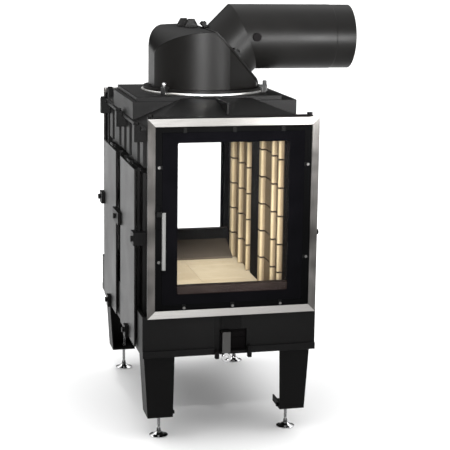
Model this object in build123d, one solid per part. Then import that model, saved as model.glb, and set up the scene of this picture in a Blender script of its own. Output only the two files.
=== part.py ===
"""See-through fireplace insert: a glazed door at each end, cast body on four legs, turning dome and elbow.

Millimetres, +Z up, the front door faces -Y. Everything is built about the body's centre line, with the
floor at z = 0, and moved along X on export so that the origin is the middle of the outer box's bottom.
What the rear shares with the front is the same shape turned half a turn about the centre line.
"""

import os
from math import cos, radians, sin, sqrt

from build123d import *

# ---- driving sizes ---------------------------------------------------------------------------------

# overall places
overall_depth = 856.0  # between the faces of the two doors' trim
door_width = 496.0
door_height = 571.0
door_bottom_z = 385.0
floor_clearance = 263.0  # floor to the underside of the base

# clearances
running_gap = 0.05  # radial, a pin or spindle in its hole
seat_gap = 0.3  # a moving piece above or beside what carries it
stop_gap = 0.5  # a moving piece beside a part that it never rests on
panel_gap = 1.0  # base panel's top edge under the door

# door
trim_width = 22.0
trim_thickness = 4.0
door_thickness = 24.0  # face of the trim to the back of the cast frame
door_inset = 4.0  # cast frame's outer edge inside the trim's
door_end_inset = 16.0  # the same, at the top and bottom, where the hinge lugs sit
rim_step = 6.0  # glass edge inside the screws' rim
glass_thickness = 4.0
glass_side_margin = 42.0  # trim's outer edge to the glass edge
glass_end_margin = 39.0
window_side_margin = 78.0  # trim's outer edge to the cast frame's opening
window_end_margin = 61.0
clip_width = 10.0
clip_length = 14.0
clip_thickness = 2.0
side_clip_span = 270.0  # between the two clips beside the glass
side_clip_rise = 14.5  # their middle above the glass's middle
end_clip_pitch = 142.0  # along the top and the bottom
screw_radius = 4.0
screw_head = 2.0
seal_width = 10.0
seal_depth = 14.0  # gap between the door's back and the fixed frame
seal_margin = 5.0  # rope seal outside the fixed frame's opening
seal_drop = 1.0  # lower seal under the door's window

# door hinge
hinge_inset = 15.0  # pin axis inside the trim's outer edge, and behind its face
hinge_pin_radius = 5.0
hinge_lug_radius = 8.0
hinge_pin_depth = 16.0  # pin's reach into the cast door frame

# door handle, turning about an axis square to the door
handle_inset = 30.0  # spindle axis inside the trim's outer edge
handle_z = 690.0
handle_length = 165.0
handle_bar = 11.0
handle_stand_off = 14.0  # bar's back in front of the trim's face
handle_arm_height = 14.0
handle_reach = 12.0  # bar's axis beside the spindle
handle_plate_width = 14.0
handle_plate_height = 70.0
handle_plate_thickness = 5.0
handle_plate_drop = 10.0  # plate's middle under the spindle
spindle_radius = 4.0
hub_radius = 6.0
tongue_length = 10.0
tongue_height = 10.0
tongue_thickness = 6.0
keeper_width = 15.0
keeper_height = 34.0

# fixed door frames (cast)
casting_half_width = 240.0
casting_thickness = 26.0
mouth_half_width = 185.0
mouth_sill = 82.0  # bottom of the opening above the door's bottom
mouth_head = 59.0  # top of the opening below the door's top

# base
base_half_width = 248.0
base_height = 84.8
sheet = 4.0  # steel sheet of the tray, plates and legs
panel_thickness = 10.0
lip_height = 20.0
lip_depth = 6.0
inlet_radius = 62.75  # takes a 125 mm combustion air pipe
inlet_wall = 3.0
inlet_length = 32.0

# air control
lever_width = 24.0
lever_thickness = 5.0
lever_x = -15.0
lever_travel = 50.0
lever_drop = 62.0
lever_stand_off = 11.0  # lever's back in front of the base panel
knob_radius = 14.0
knob_bore = 6.0
knob_thickness = 9.0
slot_bottom = 9.0  # above the base's underside
slot_top = 73.0
slot_clearance = 2.0  # over the lever's arm
valve_length = 220.0
valve_height = 32.0
valve_below_arm = 5.0  # slide's middle under the lever arm's top
port_count = 3
port_pitch = 70.0
port_width = 34.0
port_height = 24.0
slot_margin = 3.0
guide_width = 12.0
guide_depth = 14.0
guide_height = 34.0
cover_width = 60.0
cover_height = 42.0
groove_width = 15.0
groove_depth = 3.0

# legs and feet
leg_inset_y = 14.0  # leg's face behind the fixed frame's plane
leg_outset = 1.0  # leg's outer top edge outside the tray
leg_top_width = 91.0
leg_bottom_width = 75.0
leg_taper = 12.0  # how far the outer edge leans in
leg_depth = 80.0
leg_clearance = 72.0  # floor to the leg's bottom
leg_foot_plate = 6.0
leg_lip_height = 20.0  # upturned inner edge of the foot plate
foot_inset = 42.0  # foot's axis inside the leg's outer bottom edge
foot_set_back = 50.0  # foot's axis behind the leg's face
foot_radius = 27.5
foot_rim = 4.0
foot_flare = 16.0
foot_neck_radius = 7.0
foot_spindle_radius = 4.75
foot_spindle_top = 128.0
leg_screw_radius = 6.0
leg_screw_length = 7.0
leg_screw_set_back = 16.0  # set screw behind the leg's face

# side castings, their ribs and cover plates
side_set_in = 26.0  # side wall's inner face inside the base's side
side_wall = 8.0
rib_rise = 12.0
rib_narrow = 52.0
rib_wide = 96.0
rib_middle = 50.0  # rib beside the centre line
rib_end_inset = 74.0  # outermost rib inside the body's end
rib_split_z = 801.0
rib_groove = 14.0
rib_bevel = 5.0
plate_stand_off = 3.0  # plate's back outside the skirt
spacer_length = 80.0
spacer_height = 24.0
spacer_low_rise = 150.0  # lower spacers above the plate's bottom
plate_thickness = 5.0
plate_near_y = 45.0
plate_end_inset = 59.0  # plate's outer edge inside the body's end
plate_bottom_z = 270.0
plate_top_z = 797.0
skirt_thickness = 9.0
clamp_z = 600.0
clamp_height = 38.0
clamp_thickness = 9.0
clamp_overlap = 9.0
end_clamp_inset = 34.0
end_clamp_width = 26.0
low_clamp_width = 34.0
low_clamp_rise = 30.0
bolt_radius = 8.5
bolt_head = 7.0

# firebox
hearth_thickness = 31.6
hearth_rows = 4
brick_joint = 0.9
brick_face = 170.0  # face of the wall bricks from the centre line
brick_thickness = 26.0
brick_relief = 14.0  # how far a brick's rib stands out
brick_edge = 2.0
rib_round = 6.0
near_columns = ((-318.0, -274.0, 12.0), (-274.0, -198.0, 16.0), (-198.0, -58.0, 30.0))  # from, to, rib width
far_columns = ((58.0, 97.0, 12.0), (97.0, 202.0, 16.0), (202.0, 318.0, 32.0))
brick_courses = 6
brick_height = 85.6
post_face = 177.0
duct_rib_places = (100.0, 250.0)
sill_foot_inset = 99.0  # sill's inner edge inside the frame
sill_rise = 48.0
sill_thickness = 7.0
roof_gap = 10.0  # ceiling to the cover
air_slot_length = 110.0
air_slot_places = (-250.0, -100.0, 100.0, 250.0)
ceiling_thickness = 8.0
ceiling_half_x = 110.0
ceiling_half_y = 150.0
deflector_half_x = 130.0
deflector_half_y = 80.0
deflector_rise = 31.0
deflector_thickness = 6.0
deflector_post_x = 122.0
deflector_post_y = 60.0
deflector_post_radius = 6.0

# top of the body
cover_overhang = 13.0  # cover's side edge outside the ribs
top_plate_thickness = 10.0
top_plate_edge = 2.0  # top plate's end behind the fixed frame's face
smoke_radius = 160.0
lug_width = 30.0
lug_depth = 17.0
lug_height = 44.0
lug_end_inset = 34.0
seat_inset = 5.0  # seat's sides inside the cover's
seat_half_y = 185.0
seat_low_height = 53.0
seat_high_height = 13.0
seat_left_step = 12.0  # upper block's left face inside the lower's
seat_right_step = 46.0
seat_end_step = 2.0
seat_wall = 8.0
hood_half = 244.0  # at its bottom
hood_front_half = 206.0
hood_rear_half = 105.0
hood_front_height = 25.0
hood_rear_height = 60.0
hood_sheet = 5.0
gusset_thickness = 7.0
gusset_front = 23.0  # gusset's front edge behind the hood's
gusset_rise = 2.0  # gusset's top above the hood's rear edge

# dome, its ring and clamps
ring_width = 20.0  # ring's outer edge outside the dome's wall
ring_height = 6.0
dome_flange_width = 14.0
dome_flange_height = 8.0
dome_radius = 170.0
dome_wall = 8.0
cheek_inset = 8.0  # flat left cheek inside the round wall
dome_height = 189.0  # above the ring
dome_front_drop = 9.0  # how much lower the front arch is than the rear one
front_corner = (145.0, 100.0)  # half-ellipse of the front arch: along X, along Z
rear_corner = (45.0, 40.0)
cheek_start_x = 48.0  # vertical crease at the front
cheek_end_x = 150.0
outlet_reach = 181.0  # centre line to where the 45 degree outlet plane meets the ring's top
outlet_plate = 5.0
outlet_lip = 2.0  # flange plate's edge outside the dome's wall
ear_width = 42.0
ear_tip = 18.0
ear_height = 22.0
ear_thickness = 12.0
ear_places = ((-48.0, 62.0), (-32.0, 20.0))
dome_clamp_angles = (97.0, 222.0, 332.0)
dome_clamp_width = 16.0
dome_clamp_overlap = 2.0
dome_clamp_reach = 14.0
dome_clamp_bolt = 6.5
dome_clamp_cap = 8.0
dome_clamp_head = 13.0

# elbow and flue pipe
flue_radius = 100.0
flue_wall = 2.0
flue_axis_rise = 158.0  # above the ring's top
flue_end_x = 465.0
spigot_length = 60.0  # end of the pipe, made smaller to go into a socket
spigot_step = 0.7
spigot_taper = 3.0
mitre_x = 121.0
outlet_angle = 45.0
neck_below_plate = 16.0
collar_width = 4.0
collar_height = 4.0
outlet_clearance = 0.5
outlet_clip_width = 30.0
outlet_clip_length = 22.0
outlet_clip_height = 8.0
port_plug_radius = 13.0
port_plug_height = 5.0
port_plug_x = 146.0
port_plug_rise = 4.0

# ---- places worked out from the sizes ----------------------------------------------------------------

face_y = -overall_depth / 2
door_back_y = face_y + door_thickness
casting_front_y = door_back_y + seal_depth
casting_back_y = casting_front_y + casting_thickness
door_half = door_width / 2
door_top_z = door_bottom_z + door_height
trim_back_y = face_y + trim_thickness
glass_half = door_half - glass_side_margin
glass_bottom_z = door_bottom_z + glass_end_margin
glass_top_z = door_top_z - glass_end_margin
window_half = door_half - window_side_margin
window_bottom_z = door_bottom_z + window_end_margin
window_top_z = door_top_z - window_end_margin
frame_half = door_half - door_inset
frame_bottom_z = door_bottom_z + door_end_inset
frame_top_z = door_top_z - door_end_inset
hinge_x = door_half - hinge_inset
hinge_y = face_y + hinge_inset
handle_x = -(door_half - handle_inset)
hub_end_y = trim_back_y - handle_plate_thickness - seat_gap
mouth_bottom_z = door_bottom_z + mouth_sill
mouth_top_z = door_top_z - mouth_head
base_top_z = floor_clearance + base_height
deck_z = base_top_z + sheet  # top of the plate that carries the firebox
hearth_z = deck_z + hearth_thickness
arm_top_z = floor_clearance + slot_top - slot_clearance
valve_z = arm_top_z - valve_below_arm
panel_front_y = casting_front_y - panel_thickness
panel_top_z = door_bottom_z - panel_gap
skirt_face_x = base_half_width + skirt_thickness
leg_front_y = casting_front_y + leg_inset_y
leg_top_outer = base_half_width + leg_outset
leg_bottom_outer = leg_top_outer - leg_taper
foot_x = leg_bottom_outer - foot_inset
foot_y = leg_front_y + foot_set_back
body_half = -casting_back_y
side_inner = base_half_width - side_set_in
side_outer = side_inner + side_wall
rib_face_x = side_outer + rib_rise
rib_end = body_half - rib_end_inset
rib_places = ((rib_middle, "narrow"), ((rib_middle + rib_end) / 2, "wide"), (rib_end, "narrow"))
plate_far_y = body_half - plate_end_inset
end_clamp_y = body_half - end_clamp_inset
low_clamp_y = (plate_near_y + plate_far_y) / 2
lug_places = (-(body_half - lug_end_inset), 0.0, body_half - lug_end_inset)
plate_seat_x = skirt_face_x + plate_stand_off
plate_outer_x = plate_seat_x + plate_thickness
clamp_outer_x = plate_outer_x + seat_gap + clamp_thickness
bolt_outer_x = clamp_outer_x + bolt_head
brick_top_z = hearth_z + brick_courses * brick_height
brick_back = brick_face + brick_thickness
ceiling_top_z = brick_top_z + ceiling_thickness
side_top_z = ceiling_top_z + roof_gap
top_plate_half_x = rib_face_x + cover_overhang
seat_half_x = top_plate_half_x - seat_inset
seat_z = side_top_z + top_plate_thickness
seat_step_z = seat_z + seat_low_height
seat_top_z = seat_step_z + seat_high_height
ring_top_z = seat_top_z + ring_height
ring_radius = dome_radius + ring_width
dome_flange_radius = dome_radius + dome_flange_width
dome_half_width = dome_radius - cheek_inset
dome_z = ring_top_z + seat_gap
dome_top_z = ring_top_z + dome_height
flue_axis_z = ring_top_z + flue_axis_rise
outlet_sum = outlet_reach + ring_top_z  # x + z on the outlet plane
outlet_slope = radians(outlet_angle)
axis_difference = mitre_x - flue_axis_z  # x - z on the neck's axis
outlet_x = (outlet_sum + axis_difference) / 2
outlet_z = (outlet_sum - axis_difference) / 2
origin_shift = (bolt_outer_x - flue_end_x) / 2
ENDS = {"front": 0.0, "rear": 180.0}
SIDES = {"left": -1, "right": 1}
QUARTER = 90.0


# ---- helpers -------------------------------------------------------------------------------------------


def block(x0, x1, y0, y1, z0, z1):
    """A box between two corners, given in any order."""
    size = Box(abs(x1 - x0), abs(y1 - y0), abs(z1 - z0))
    return Pos((x0 + x1) / 2, (y0 + y1) / 2, (z0 + z1) / 2) * size


def upright(radius, z0, z1, x=0.0, y=0.0):
    """A cylinder that stands along Z."""
    return Pos(x, y, (z0 + z1) / 2) * Cylinder(radius, z1 - z0)


def lengthwise(radius, y0, y1, x, z):
    """A cylinder that lies along Y."""
    return Pos(x, (y0 + y1) / 2, z) * Rot(90, 0, 0) * Cylinder(radius, abs(y1 - y0))


def crosswise(radius, x0, x1, y, z):
    """A cylinder that lies along X."""
    return Pos((x0 + x1) / 2, y, z) * Rot(0, 90, 0) * Cylinder(radius, abs(x1 - x0))


def hexagon_head(radius, height):
    """A bolt's hexagon head standing on z = 0, with its top corners taken off."""
    head = extrude(RegularPolygon(radius, 6), height)
    return head & Cone(radius * 1.5, radius * 0.9, height, align=(Align.CENTER, Align.CENTER, Align.MIN))


def prism_x(points, x0, x1):
    """A prism along X over a closed outline of (y, z) points."""
    outline = make_face(Polyline(*[(x0, y, z) for y, z in points], close=True))
    return extrude(outline, amount=x1 - x0, dir=(1, 0, 0))


def around(shape, turn):
    """A shape turned about the body's centre line."""
    return Rot(0, 0, turn) * shape


def group(shapes):
    """Separate solids kept together as one sub-part."""
    return Compound([solid for shape in shapes for solid in shape.solids()])


def both_ends(shape):
    """A front piece and the same piece turned to the rear."""
    return [shape, around(shape, 180)]


def both_sides(shape):
    """A right-hand piece and its mirror image on the left."""
    return [shape, mirror(shape, Plane.YZ)]


def save(name, shape):
    """Writes one sub-part, moved so that the origin is the middle of the outer box's bottom."""
    solids = (Pos(origin_shift, 0, 0) * shape).solids()
    export_step(solids[0] if len(solids) == 1 else Compound(solids), f"parts/{name}.step")


# ---- doors -----------------------------------------------------------------------------------------------


def mitred_bar(length):
    """One bar of the trim frame, lying along X with its outer edge at z = 0 and its ends cut at 45 degrees."""
    half = length / 2
    outline = Polyline(
        (-half, 0, 0), (half, 0, 0), (half - trim_width, 0, trim_width), (-half + trim_width, 0, trim_width), close=True
    )
    bar = extrude(make_face(outline), amount=trim_thickness, dir=(0, 1, 0))
    front = bar.edges().filter_by_position(Axis.Y, -0.01, 0.01).filter_by(Axis.X)
    return chamfer(front, trim_thickness / 4)


def trim_bars():
    """The four brushed bars around the door's face, mitred at the corners."""
    middle_z = (door_bottom_z + door_top_z) / 2
    flat = mitred_bar(door_width)
    tall = mitred_bar(door_height)
    return [
        Pos(0, face_y, door_bottom_z) * flat,
        Pos(0, face_y, door_top_z) * Rot(0, 180, 0) * flat,
        Pos(-door_half, face_y, middle_z) * Rot(0, 90, 0) * tall,
        Pos(door_half, face_y, middle_z) * Rot(0, -90, 0) * tall,
    ]


def door_frame():
    """The cast frame behind the trim, with a step for the glass and holes for the hinge pins and spindle."""
    body = block(-frame_half, frame_half, trim_back_y, door_back_y, frame_bottom_z, frame_top_z)
    body -= block(-window_half, window_half, face_y, casting_front_y, window_bottom_z, window_top_z)
    step = block(
        -glass_half - stop_gap,
        glass_half + stop_gap,
        trim_back_y,
        trim_back_y + glass_thickness,
        glass_bottom_z - stop_gap,
        glass_top_z + stop_gap,
    )
    hole = hinge_pin_radius + running_gap
    depth = hinge_pin_depth + stop_gap
    body -= step
    body -= upright(hole, frame_top_z - depth, frame_top_z, hinge_x, hinge_y)
    body -= upright(hole, frame_bottom_z, frame_bottom_z + depth, hinge_x, hinge_y)
    return body - spindle_hole()


def spindle_hole():
    """The hole for the latch spindle through the door and the handle's plate."""
    return lengthwise(spindle_radius + running_gap, hub_end_y, casting_front_y, handle_x, handle_z)


def handle_plate():
    """Small upright plate on the door that the handle's spindle comes out of."""
    x0 = -door_half + trim_width + seat_gap
    middle_z = handle_z - handle_plate_drop
    half = handle_plate_height / 2
    front = trim_back_y - handle_plate_thickness
    plate = block(x0, x0 + handle_plate_width, front, trim_back_y, middle_z - half, middle_z + half)
    face = plate.edges().filter_by_position(Axis.Y, front - 0.01, front + 0.01)
    return chamfer(face, handle_plate_thickness / 5) - spindle_hole()


def glass_pane():
    """The glass ceramic pane, flush with the rim of the cast frame."""
    pane = block(-glass_half, glass_half, trim_back_y, trim_back_y + glass_thickness, glass_bottom_z, glass_top_z)
    return pane


def clip_places():
    """Where the glass clips' screws are: (x, z, turn), all round the rim."""
    side = glass_half + rim_step + screw_radius
    low = glass_bottom_z - rim_step - screw_radius
    high = glass_top_z + rim_step + screw_radius
    middle_z = (glass_bottom_z + glass_top_z) / 2 + side_clip_rise
    half_span = side_clip_span / 2
    places = [(x, middle_z + z, QUARTER) for x in (-side, side) for z in (-half_span, half_span)]
    places += [(x, z, 0.0) for x in (-end_clip_pitch, 0.0, end_clip_pitch) for z in (low, high)]
    return places


def glass_clips():
    """Flat steel clips that lap over the edge of the glass."""
    y = trim_back_y - clip_thickness / 2
    clips = []
    for x, z, turn in clip_places():
        inward = -1 if (x > 0 if turn else z > door_bottom_z + door_height / 2) else 1
        shift = inward * (clip_length / 2 - screw_radius)
        size = (clip_length, clip_thickness, clip_width) if turn else (clip_width, clip_thickness, clip_length)
        middle = (x + shift, y, z) if turn else (x, y, z + shift)
        clips.append(Pos(*middle) * Box(*size) - lengthwise(screw_radius / 2, face_y, trim_back_y, x, z))
    return group(clips)


def clip_screws():
    """Pan-head screws on the glass clips."""
    screws = []
    for x, z, _ in clip_places():
        front = trim_back_y - clip_thickness
        head = lengthwise(screw_radius, front - screw_head, front, x, z)
        shank = lengthwise(screw_radius / 2, front, trim_back_y, x, z)
        screws.append(head + shank)
    return group(screws)


def door_seal():
    """Rope seal on the door's back, pressed against the fixed frame."""
    inner_x = mouth_half_width + seal_margin
    low, high = window_bottom_z - seal_drop, mouth_top_z + seal_margin
    end = casting_front_y - seat_gap
    ring = block(-inner_x - seal_width, inner_x + seal_width, door_back_y, end, low - seal_width, high + seal_width)
    ring -= block(-inner_x, inner_x, door_back_y, end, low, high)
    return fillet(ring.edges().filter_by_position(Axis.Y, end - 0.01, end + 0.01), seal_width / 3)


def hinge_lugs():
    """Fixed lugs above and below the cast door frame, rounded about the pin's axis."""
    lugs = []
    for z0, z1 in ((door_bottom_z + 2, frame_bottom_z - stop_gap), (frame_top_z + stop_gap, door_top_z - 2)):
        lug = upright(hinge_lug_radius, z0, z1, hinge_x, hinge_y)
        lug += block(hinge_x - hinge_lug_radius, hinge_x + hinge_lug_radius, hinge_y, casting_front_y, z0, z1)
        lugs.append(lug - upright(hinge_pin_radius, z0, z1, hinge_x, hinge_y))
    return group(lugs)


def hinge_pins():
    """Two pins, fixed in the lugs, that the door turns on."""
    low = upright(hinge_pin_radius, door_bottom_z + 2, frame_bottom_z + hinge_pin_depth, hinge_x, hinge_y)
    high = upright(hinge_pin_radius, frame_top_z - hinge_pin_depth, door_top_z - 2, hinge_x, hinge_y)
    return group([low, high])


def handle():
    """Upright bar on a short arm, with the spindle's hub on the face of the door."""
    bar_back = face_y - handle_stand_off
    bar_x = handle_x + handle_reach
    low = handle_z + handle_arm_height / 2 - handle_length
    bar = block(bar_x - handle_bar / 2, bar_x + handle_bar / 2, bar_back - handle_bar, bar_back, low, low + handle_length)
    bar = chamfer(bar.edges(), 1.2)
    half = handle_arm_height / 2
    thick = handle_bar / 2
    arm = block(handle_x - hub_radius, bar_x + thick, bar_back, bar_back + thick, handle_z - half, handle_z + half)
    hub = lengthwise(hub_radius, bar_back, hub_end_y, handle_x, handle_z)
    return bar + arm + hub


def latch_spindle():
    """Spindle through the door, with the latch tongue on its inner end."""
    end = door_back_y + seat_gap + tongue_thickness
    spindle = lengthwise(spindle_radius, hub_end_y, end, handle_x, handle_z)
    half = tongue_height / 2
    tongue = block(handle_x - tongue_length, handle_x, end - tongue_thickness, end, handle_z - half, handle_z + half)
    hub = lengthwise(hub_radius, end - tongue_thickness, end, handle_x, handle_z)
    return spindle + tongue + hub


def latch_keeper():
    """Notched block on the fixed frame that the latch tongue points into."""
    near = handle_x - tongue_length - stop_gap
    half = keeper_height / 2
    keeper = block(near - keeper_width, near, door_back_y + stop_gap, casting_front_y, handle_z - half, handle_z + half)
    notch = tongue_height / 2 + 1
    return keeper - block(near - 6, near, door_back_y, casting_front_y - 4, handle_z - notch, handle_z + notch)


# ---- body ----------------------------------------------------------------------------------------------


def end_casting():
    """Fixed cast frame that the door closes on."""
    frame = block(-casting_half_width, casting_half_width, casting_front_y, casting_back_y, deck_z, door_top_z)
    frame -= block(-mouth_half_width, mouth_half_width, casting_front_y, casting_back_y, mouth_bottom_z, mouth_top_z)
    upright_edges = frame.edges().filter_by(Axis.Z).filter_by_position(Axis.Y, casting_front_y - 1, casting_front_y + 1)
    outer = upright_edges.sort_by(Axis.X)
    return chamfer([outer[0], outer[-1]], 3)


def base_tray():
    """Open tray under the firebox, welded from a floor, two ends and two sides: the air chamber."""
    half_x, half_y = base_half_width, -casting_front_y
    floor_top = floor_clearance + sheet
    floor = block(-half_x, half_x, -half_y, half_y, floor_clearance, floor_top)
    floor -= upright(inlet_radius + inlet_wall, floor_clearance, floor_top)
    wall = block(-half_x, half_x, -half_y, -half_y + sheet, floor_top, base_top_z)
    side = block(half_x - sheet, half_x, -half_y + sheet, half_y - sheet, floor_top, base_top_z)
    return group([floor, wall - lever_slot(), around(wall, 180), *both_sides(side)])


def lever_slot():
    """The cut through the front panel and the tray for the air lever and its travel."""
    x0 = lever_x - lever_width / 2 - slot_margin
    x1 = lever_x + lever_width / 2 + lever_travel + slot_margin
    z0, z1 = floor_clearance + slot_bottom, floor_clearance + slot_top
    return block(x0, x1, panel_front_y - lip_depth, casting_front_y + sheet, z0, z1)


def air_inlet_collar():
    """Collar that takes the combustion air pipe from below."""
    end = floor_clearance + inlet_length
    return upright(inlet_radius + inlet_wall, floor_clearance, end) - upright(inlet_radius, floor_clearance, end)


def base_panel(with_slot):
    """Cast panel under a door, with a lip along its bottom and a shallow upright groove."""
    panel = block(-skirt_face_x, skirt_face_x, panel_front_y, casting_front_y, floor_clearance, panel_top_z)
    lip_y = panel_front_y - lip_depth
    lip = block(-skirt_face_x, skirt_face_x, lip_y, panel_front_y, floor_clearance, floor_clearance + lip_height)
    lip = chamfer(lip.edges().filter_by(Axis.X).filter_by_position(Axis.Y, lip_y - 0.01, lip_y + 0.01), 2)
    panel += lip
    if with_slot:
        left = lever_x - lever_width / 2 - slot_margin - groove_width
        right = left + groove_width
        groove = block(left, right, lip_y, panel_front_y + groove_depth, floor_clearance, panel_top_z)
        panel = panel - groove - lever_slot()
    return panel


def cover_plate():
    """Small plate on the base panel above the air lever."""
    z1 = panel_top_z - 5
    left = lever_x - lever_width / 2
    plate = block(left, left + cover_width, panel_front_y - sheet, panel_front_y, z1 - cover_height, z1)
    front = plate.edges().filter_by_position(Axis.Y, panel_front_y - sheet - 0.01, panel_front_y - sheet + 0.01)
    return chamfer(front, 1)


def lever_guides():
    """Two cheeks at the ends of the lever's slot, reaching a little below the base."""
    x0 = lever_x - lever_width / 2 - slot_margin
    x1 = lever_x + lever_width / 2 + lever_travel + slot_margin
    front = panel_front_y - lip_depth - guide_depth
    back = panel_front_y - lip_depth
    z0, z1 = floor_clearance - 9, floor_clearance - 9 + guide_height
    right = block(x1, x1 + guide_width, front, back, z0, z1)
    left = block(x0 - guide_width - 5, x0 - 5, front, back, z0, z1 - 12)
    return group([chamfer(cheek.edges(), 1.5) for cheek in (left, right)])


def port_plate():
    """Fixed plate behind the air slide, with the air ports cut in it."""
    y0 = casting_front_y + sheet + 2 * seat_gap + sheet
    plate = block(-valve_length, valve_length, y0, y0 + sheet, floor_clearance + sheet, base_top_z)
    for x in port_places():
        half = port_height / 2
        plate -= block(x - port_width / 2, x + port_width / 2, y0, y0 + sheet, valve_z - half, valve_z + half)
    return plate


def port_places():
    """Middle of each air port along X."""
    return [port_pitch * (n - (port_count - 1) / 2) + 60 for n in range(port_count)]


def valve_rail():
    """Rail on the port plate that the air slide runs on."""
    z = valve_z - valve_height / 2 - seat_gap
    y0 = casting_front_y + sheet
    return block(-valve_length, valve_length, y0, y0 + sheet + 2 * seat_gap, z - sheet, z)


def air_slide():
    """Slotted plate that the lever moves over the air ports."""
    y0 = casting_front_y + sheet + seat_gap
    x0 = lever_x - lever_width
    x1 = valve_length - lever_travel
    half = valve_height / 2
    plate = block(x0, x1, y0, y0 + sheet, valve_z - half, valve_z + half)
    for x in port_places():
        left = x - lever_travel - port_width / 2
        half = port_height / 2
        port = block(left, left + port_width, y0, y0 + sheet, valve_z - half, valve_z + half)
        if left > lever_x + lever_width / 2:
            plate -= port
    return plate


def air_lever():
    """Flat bar from the slide out through the panel, bent down in front of it."""
    x0, x1 = lever_x - lever_width / 2, lever_x + lever_width / 2
    back = panel_front_y - lip_depth - lever_stand_off
    top = arm_top_z
    arm = block(x0, x1, back, casting_front_y + sheet + seat_gap, top - lever_thickness, top)
    drop = block(x0, x1, back - lever_thickness, back, top - lever_drop, top)
    return fillet(drop.edges().filter_by(Axis.X).sort_by(Axis.Z)[-2:-1], 0.8) + arm


def lever_knob():
    """Chrome ring at the lever's end."""
    z = arm_top_z - lever_drop - knob_radius
    y = panel_front_y - lip_depth - lever_stand_off - lever_thickness / 2
    ring = lengthwise(knob_radius, y - knob_thickness / 2, y + knob_thickness / 2, lever_x, z)
    ring -= lengthwise(knob_bore, y - knob_thickness / 2, y + knob_thickness / 2, lever_x, z)
    ring = fillet(ring.edges(), 1.5)
    stem = lever_thickness / 2
    neck = block(lever_x - 5, lever_x + 5, y - stem, y + stem, z + knob_bore + 2, z + knob_radius)
    return ring + neck


def leg_panel(x_top, x_bottom, y0, y1):
    """A leaning plate of a leg between its (inner, outer) edges at the top and at the bottom."""
    sections = []
    for (inner, outer), z in ((x_top, floor_clearance), (x_bottom, leg_clearance)):
        sections.append(Pos((inner + outer) / 2, (y0 + y1) / 2, z) * Rectangle(outer - inner, y1 - y0))
    return loft(sections)


def leg():
    """Angle-shaped sheet leg: a face plate, an outer side plate and a foot plate; made at the front right."""
    back = leg_front_y + sheet
    end = leg_front_y + leg_depth
    top_inner = leg_top_outer - leg_top_width
    bottom_inner = leg_bottom_outer - leg_bottom_width
    face = leg_panel((top_inner, leg_top_outer), (bottom_inner, leg_bottom_outer), leg_front_y, back)
    side_top = (leg_top_outer - sheet, leg_top_outer)
    side_bottom = (leg_bottom_outer - sheet, leg_bottom_outer)
    side = leg_panel(side_top, side_bottom, back, end)
    z0, z1 = leg_clearance, leg_clearance + leg_foot_plate
    plate = block(bottom_inner, leg_bottom_outer - sheet, back, end, z0, z1)
    plate -= upright(foot_spindle_radius + running_gap, z0, z1, foot_x, foot_y)
    lip = block(bottom_inner, bottom_inner + sheet, back, end, z1, z0 + leg_lip_height)
    return group([face, side, plate + lip])


def leg_screw():
    """Set screw on the foot plate's upturned edge; made at the front right."""
    x = leg_bottom_outer - leg_bottom_width
    z = leg_clearance + leg_lip_height / 2
    head = hexagon_head(leg_screw_radius, leg_screw_length)
    return Pos(x, leg_front_y + leg_screw_set_back, z) * Rot(0, -QUARTER, 0) * head


def foot():
    """Levelling foot: a trumpet-shaped disc on a threaded spindle; made at the front right."""
    profile = [
        (0, 0),
        (foot_radius - 1, 0),
        (foot_radius, 1),
        (foot_radius, foot_rim - 1),
        (foot_radius - 2, foot_rim),
        (foot_radius * 0.6, foot_rim + 3),
        (foot_neck_radius + 2, foot_rim + foot_flare * 0.55),
        (foot_neck_radius, foot_rim + foot_flare),
        (foot_spindle_radius, foot_rim + foot_flare + 6),
        (foot_spindle_radius, foot_spindle_top),
        (0, foot_spindle_top),
    ]
    outline = make_face(Polyline(*[(r, 0, z) for r, z in profile], close=True))
    return Pos(foot_x, foot_y, 0) * revolve(outline, Axis.Z)


def in_corner(shape, end, side):
    """A front-right piece moved to the corner at an end and a side."""
    shape = shape if side == "right" else mirror(shape, Plane.YZ)
    return shape if end == "front" else mirror(shape, Plane.XZ)


def side_casting():
    """Right side wall with upright ribs, parted by a groove level with the cover plates' top."""
    half_y = -casting_back_y
    wall = block(side_inner, side_outer, -half_y, half_y, deck_z, side_top_z)
    for y, half in rib_spans():
        wall += block(side_outer, rib_face_x, y - half, y + half, deck_z, rib_split_z - rib_groove)
        upper = block(side_outer, rib_face_x, y - half, y + half, rib_split_z, side_top_z)
        lower_edge = upper.edges().filter_by(Axis.Y).group_by(Axis.Z)[0].sort_by(Axis.X)[-1]
        wall += chamfer(lower_edge, rib_bevel)
    return wall


def rib_spans():
    """Middle and half width of each upright rib along Y."""
    widths = {"narrow": rib_narrow / 2, "wide": rib_wide / 2}
    return [(sign * y, widths[kind]) for y, kind in rib_places for sign in (-1, 1)]


def base_skirt():
    """Right skirt plate along the side of the tray."""
    half_y = -casting_front_y
    return block(base_half_width, skirt_face_x, -half_y, half_y, floor_clearance, hearth_z)


def side_plate():
    """One of the right side's smooth cover plates, the one toward the front."""
    plate = block(plate_seat_x, plate_outer_x, -plate_far_y, -plate_near_y, plate_bottom_z, plate_top_z)
    face = plate.edges().filter_by_position(Axis.X, plate_outer_x - 0.01, plate_outer_x + 0.01)
    return chamfer(face, plate_thickness / 4)


def plate_spacers():
    """Spacers between a cover plate and the widest rib behind it, toward the right side's front."""
    y = -dict((kind, place) for place, kind in rib_places)["wide"]
    half = spacer_length / 2
    spacers = []
    for z in (plate_bottom_z + spacer_low_rise, plate_top_z - rib_groove - spacer_height):
        spacers.append(block(rib_face_x, plate_seat_x, y - half, y + half, z, z + spacer_height))
    return group(spacers)


def bolt_on_side(y, z):
    """Hexagon bolt head on a right-side clamp."""
    return Pos(clamp_outer_x, y, z) * Rot(0, 90, 0) * hexagon_head(bolt_radius, bolt_head)


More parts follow.
